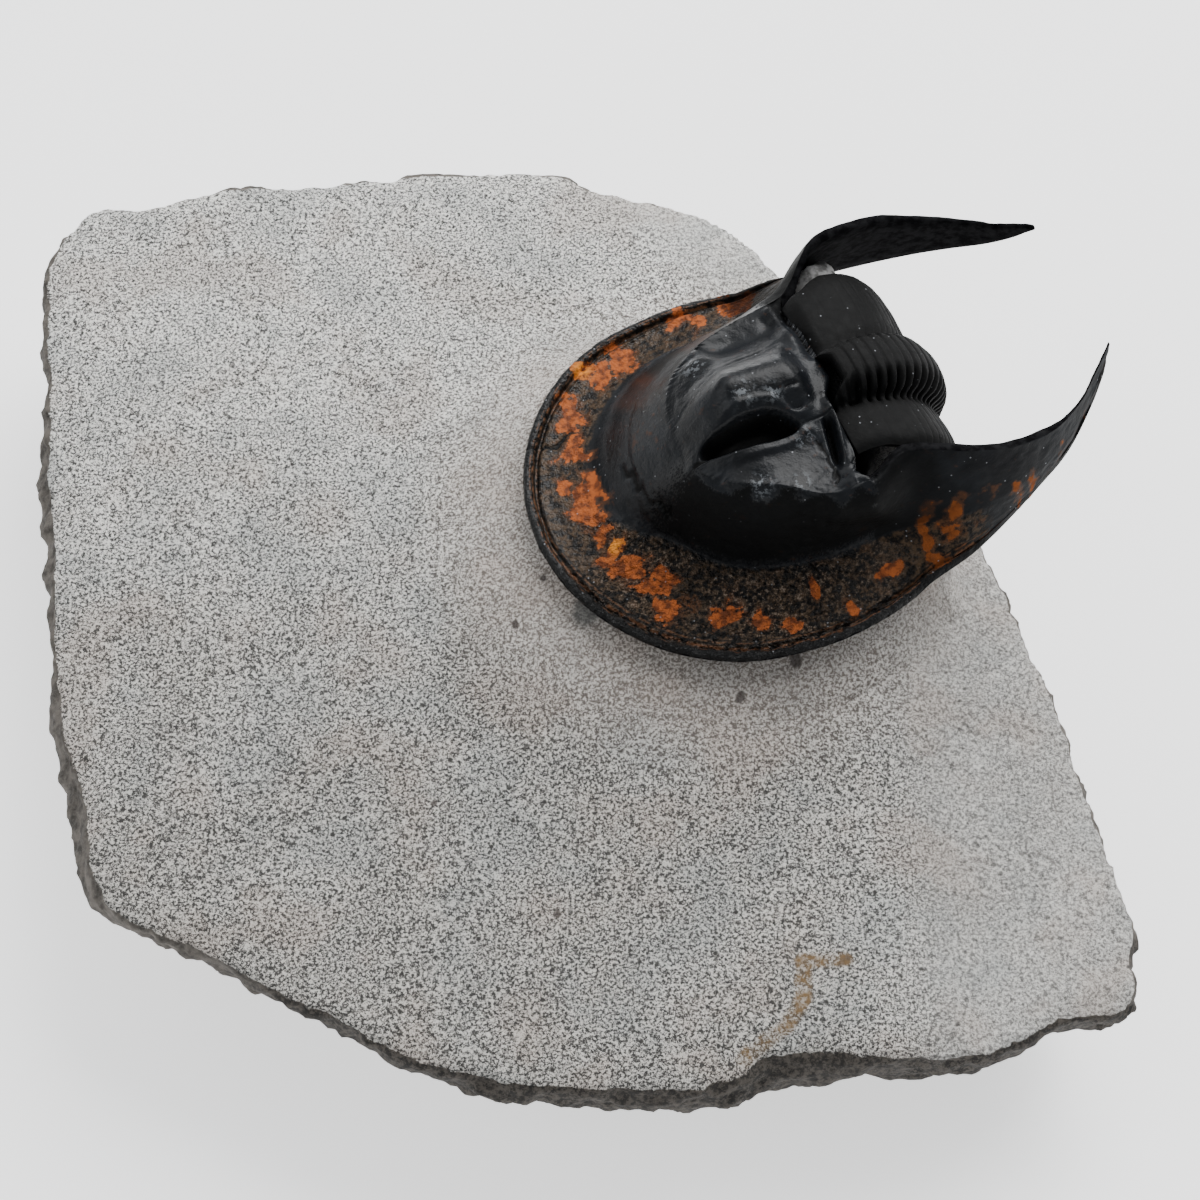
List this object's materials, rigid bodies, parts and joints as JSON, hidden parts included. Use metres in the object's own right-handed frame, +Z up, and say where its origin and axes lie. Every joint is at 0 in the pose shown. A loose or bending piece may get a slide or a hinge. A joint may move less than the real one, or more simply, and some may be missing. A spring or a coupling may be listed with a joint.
{
  "type": "trilobite fossil",
  "caption": "Harpid trilobite with a broad brim, long horns and a rolled ribbed body, raised on its rough limestone slab.",
  "frame": {"origin": "middle of the bounding box in plan, on the plane of the flat underside", "axes": "+X along the slab's longest way, towards the horns; +Y across it; +Z up from the underside"},
  "size_m": [0.082, 0.0786, 0.0331],
  "materials": {
    "limestone": "rough, fine speckled grain",
    "shell": "polished blue-black, matt brown and orange on the brim"
  },
  "bodies": {
    "root": {"matrix": "limestone", "cephalon": "shell", "thorax": "shell", "pygidium": "shell"}
  },
  "joints": []
}
